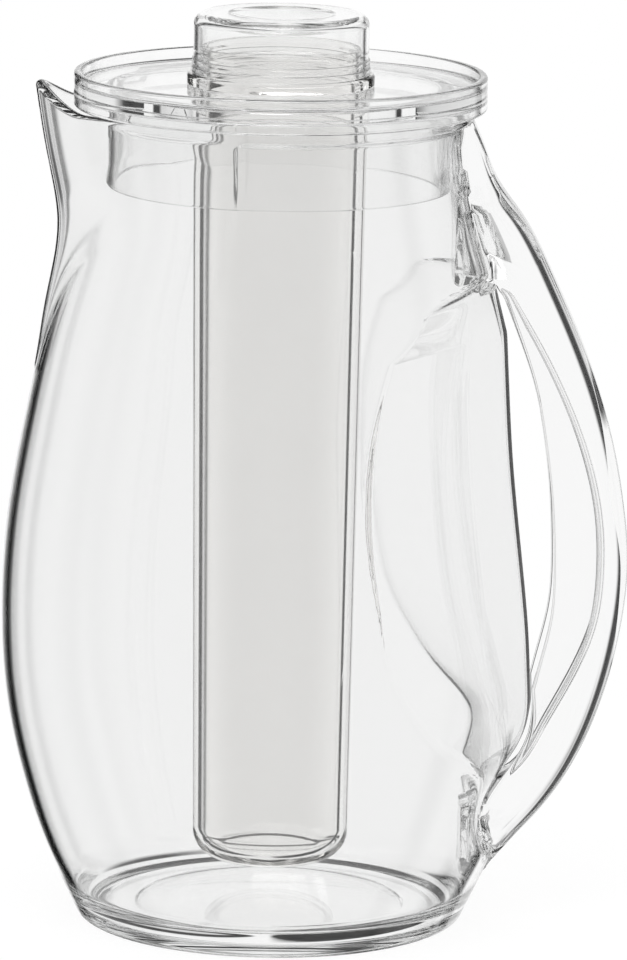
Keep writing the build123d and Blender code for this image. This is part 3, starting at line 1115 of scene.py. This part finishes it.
@dataclass
class IceTube:
    """The tube that holds ice, with its flange and the beads round its neck that hold the cap."""

    top_radius: float = 26.2
    end_radius: float = 23.4
    bore: float = 22.4
    end_bore: float = 20.4
    end_height: float = 18.0
    floor: float = 3.0
    # Share of the end's radius that is left plain and flat, inside and out
    flat_share: float = 0.3
    end_round: float = 9.0
    bore_round: float = 6.0
    flange_radius: float = 28.0
    flange_low: float = 253.98
    flange_top: float = 257.4
    neck_radius: float = 24.0
    neck_height: float = 8.0
    bead_count: int = 2
    bead_pitch: float = 2.6
    bead_proud: float = 0.35
    bead_half_height: float = 0.8

    def build(self) -> Piece:
        """Builds the tube as one closed mesh.

        Returns:
            The object.
        """
        floor = self.end_height + self.floor
        neck_top = self.flange_top + self.neck_height
        corners: list[Corner] = [
            (0, self.end_height, 0),
            (self.end_radius * self.flat_share, self.end_height, 0),
            (self.end_radius, self.end_height, self.end_round),
            (self.top_radius, self.flange_low, 0.5),
            (self.flange_radius, self.flange_low, 0.5),
            (self.flange_radius, self.flange_top, 0.9),
            (self.neck_radius, self.flange_top, 0.4),
        ]
        for index in range(self.bead_count):
            height = self.flange_top + (index + 1) * self.bead_pitch
            corners += [
                (self.neck_radius, height - self.bead_half_height, 0.3),
                (self.neck_radius + self.bead_proud, height, 0.4),
                (self.neck_radius, height + self.bead_half_height, 0.3),
            ]
        corners += [
            (self.neck_radius, neck_top, 0.4),
            (self.bore, neck_top, 0.5),
            (self.end_bore, floor, self.bore_round),
            (self.end_bore * self.flat_share, floor, 0),
            (0, floor, 0),
        ]
        return skin("ice_tube_body", level_rings(rounded(corners, steps=9), even_angles(288)))

    def dress(self) -> Piece:
        """Builds the tube, gives it its plastic and sets it in place of its CAD node."""
        return place_piece(self.build(), TUBE_PLASTIC, "tube", "ice_tube")


@dataclass
class TubeCap:
    """The push-on cap of the tube, which is also the lid's knob."""

    radius: float = 26.2
    low: float = 257.48
    top: float = 275.4
    bore: float = 24.5
    shoulder_round: float = 3.2
    roof: float = 2.2
    dish_radius: float = 16.0
    dish_depth: float = 3.6
    dish_rings: int = 16
    band_proud: float = 0.5
    band_height: float = 2.0
    ring_proud: float = 0.3
    ring_low: float = 3.0
    ring_height: float = 1.4

    def build(self) -> Piece:
        """Builds the cap as one closed mesh.

        Returns:
            The object.
        """
        edge = self.top - self.dish_depth
        dish: list[Corner] = []
        for radius in np.linspace(self.dish_radius, 0, self.dish_rings):
            height = edge + sag(float(radius), self.dish_radius, self.dish_depth)
            dish.append((float(radius), height, 0 if dish else 1.2))
        under = [(r, z - self.roof, 0.8 if r == self.dish_radius else 0) for r, z, _ in reversed(dish)]
        band = self.radius + self.band_proud
        ring = self.low + self.ring_low
        corners: list[Corner] = [
            *under,
            (self.bore, self.top - self.roof, 1.6),
            (self.bore, self.low, 0.3),
            (band, self.low, 0.4),
            (band, self.low + self.band_height, 0.4),
            (self.radius, self.low + self.band_height, 0.2),
            (self.radius, ring, 0.2),
            (self.radius + self.ring_proud, ring, 0.2),
            (self.radius + self.ring_proud, ring + self.ring_height, 0.2),
            (self.radius, ring + self.ring_height, 0.2),
            (self.radius, self.top, self.shoulder_round),
            *dish,
        ]
        return skin("tube_cap_knob", level_rings(rounded(corners, steps=8), even_angles(256)))

    def dress(self) -> Piece:
        """Builds the cap, gives it its plastic and sets it in place of its CAD node."""
        return place_piece(self.build(), CAP_PLASTIC, "cap", "tube_cap")


def place_piece(obj: Piece, finish: MouldedPlastic, body: str, node: str) -> Piece:
    """Dresses a piece and ties it to the frame.

    Args:
        obj: The piece.
        finish: Its plastic.
        body: The CAD body that it rides on.
        node: The CAD node that it stands for.

    Returns:
        The piece.
    """
    obj.data.materials.append(finish.build())
    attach(obj, body)
    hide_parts(node)
    return obj


# Studio


def aimed(name: str, data: bpy.types.ID, place: Corner, aim: Corner, roll: float = 0.0) -> Piece:
    """Adds a light or camera that faces a point.

    Args:
        name: Its name.
        data: The light or camera.
        place: Where it stands, in millimetres.
        aim: The point.
        roll: How far it is turned about its own line of sight, in degrees.

    Returns:
        The object.
    """
    obj = bpy.data.objects.new(name, data)
    bpy.context.scene.collection.objects.link(obj)
    obj.location = Vector(place) * MM
    sight = Vector(aim) * MM - obj.location
    obj.rotation_mode = "QUATERNION"
    turn = Euler((0, 0, math.radians(roll))).to_quaternion()
    obj.rotation_quaternion = sight.to_track_quat("-Z", "Y") @ turn
    return obj


@dataclass
class Studio:
    """A pale table in a white surround, with dark panels at the sides that draw the plastic's edges."""

    table_radius: float = 320.0
    table_thickness: float = 6.0
    table_low: float = 0.05
    table_round: float = 1.5
    table_glow: float = 0.93
    # Least and most light that the table's paper gives back, and its fibres per metre
    paper_tone: Point = (0.10, 0.12)
    paper_fibre: float = 900.0
    light_bounces: int = 24
    softbox_place: Corner = (-150, -500, 1100)
    softbox_aim: Corner = (0, 0, 130)
    softbox_size: Point = (700, 500)
    softbox_watts: float = 3.0
    # Brightness round the jug, as shares of a turn from the front, over the left and back to the front
    around_shares: tuple[Point, ...] = (
        (0.0, 0.85), (0.24, 0.85), (0.26, 0.5), (0.30, 0.9), (0.405, 0.7), (0.42, 0.0), (0.454, 0.02),
        (0.466, 1.0), (0.575, 1.0), (0.585, 0.0), (0.605, 0.0), (0.618, 0.92), (0.73, 0.95), (0.76, 0.5),
        (0.79, 0.85), (1.0, 0.85),
    )
    # Brightness against height in the surround, from straight down to straight up
    upward_shares: tuple[Point, ...] = ((0.0, 1.0), (0.62, 1.0), (0.75, 0.8), (1.0, 0.9))
    # A dark card low down behind the right side: how much it covers, by direction and by height
    card_around_shares: tuple[Point, ...] = ((0.0, 0.0), (0.50, 0.0), (0.515, 1.0), (0.66, 1.0), (0.69, 0.0))
    card_upward_shares: tuple[Point, ...] = ((0.0, 1.0), (0.30, 1.0), (0.315, 0.0), (1.0, 0.0))

    def table(self) -> Piece:
        """Builds the table top that the jug stands on.

        Returns:
            The object.
        """
        corners = [
            (0, -self.table_thickness, 0),
            (self.table_radius, -self.table_thickness, self.table_round),
            (self.table_radius, -self.table_low, self.table_round),
            (0, -self.table_low, 0),
        ]
        table = skin("pale_table", level_rings(rounded(corners, steps=4), even_angles(128)))
        material = bpy.data.materials.new("pale_table")
        nodes = NodeTree(material)
        glow = nodes.add("Emission", {"Color": WHITE, "Strength": self.table_glow})
        fibre = nodes.add("TexNoise", {"Scale": self.paper_fibre})
        paper = nodes.add("BsdfDiffuse", {"Color": nodes.mapped(fibre, target=self.paper_tone)})
        seen = nodes.add("LightPath", output="Is Camera Ray")
        lit = nodes.add("AddShader", {0: glow, 1: paper})
        either = nodes.add("MixShader", {"Fac": seen, 1: nodes.add("BsdfTransparent"), 2: lit})
        nodes.add("OutputMaterial", {"Surface": either})
        table.data.materials.append(material)
        return table

    def surround_light(self) -> None:
        """Sets the white surround, its dark side panels and the dark card."""
        world = bpy.data.worlds.new("studio_surround")
        bpy.context.scene.world = world
        nodes = NodeTree(world)
        place = nodes.add("TexCoord", output="Generated")
        along = nodes.add("SeparateXYZ", {"Vector": place}).node.outputs
        turn = nodes.maths("ARCTAN2", along["X"], along["Y"])
        around = nodes.mapped(turn, (-math.pi, math.pi))
        rise = nodes.maths("ARCSINE", along["Z"])
        upward = nodes.mapped(rise, (-math.pi / 2, math.pi / 2))
        bright, card = (
            nodes.maths("MULTIPLY", nodes.ramp(around, sideways), nodes.ramp(upward, upright))
            for sideways, upright in (
                (self.around_shares, self.upward_shares),
                (self.card_around_shares, self.card_upward_shares),
            )
        )
        shaded = nodes.maths("SUBTRACT", bright, card)
        seen = nodes.maths("MAXIMUM", shaded, nodes.add("LightPath", output="Is Camera Ray"))
        nodes.add("OutputWorld", {"Surface": nodes.add("Background", {"Color": WHITE, "Strength": seen})})

    def softbox(self) -> None:
        """Adds a soft area light over the jug."""
        data = bpy.data.lights.new("overhead_softbox", "AREA")
        data.shape = "RECTANGLE"
        data.size, data.size_y = (side * MM for side in self.softbox_size)
        data.energy = self.softbox_watts
        light = aimed("overhead_softbox", data, self.softbox_place, self.softbox_aim)
        light.visible_camera = False

    def build(self) -> None:
        """Builds the table, the surround and the soft light."""
        cycles = bpy.context.scene.cycles
        cycles.max_bounces = self.light_bounces
        cycles.glossy_bounces = self.light_bounces
        cycles.transmission_bounces = self.light_bounces
        self.table()
        self.surround_light()
        self.softbox()


@dataclass
class PhotoCamera:
    """The camera at the photograph's viewing angle."""

    lens: float = 264.9
    distance: float = 2089.0
    height: float = 546.0
    aim_across: float = 11.6
    aim_height: float = 133.8
    roll_degrees: float = 0.9
    # The furthest that it sees, in metres
    sight: float = 60.0

    def build(self) -> Piece:
        """Builds the camera and makes it the scene's.

        Returns:
            The camera object.
        """
        data = bpy.data.cameras.new("photo_camera")
        data.lens = self.lens
        data.clip_end = self.sight
        aim = (self.aim_across, 0, self.aim_height)
        camera = aimed("photo_camera", data, (0, -self.distance, self.height), aim, self.roll_degrees)
        bpy.context.scene.camera = camera
        return camera


def main() -> None:
    """Builds the camera, the studio and each sub-assembly in order."""
    logging.basicConfig(level=logging.INFO, format="%(name)s: %(message)s")
    bpy.context.scene.view_settings.view_transform = "Standard"
    PhotoCamera().build()
    Studio().build()
    shell = JugShell()
    for part in (shell, Handle(shell), Lid(), IceTube(), TubeCap()):
        piece = part.dress()
        LOG.info("%s: %d faces", piece.name, len(piece.data.polygons))


if __name__ == "__main__":
    main()
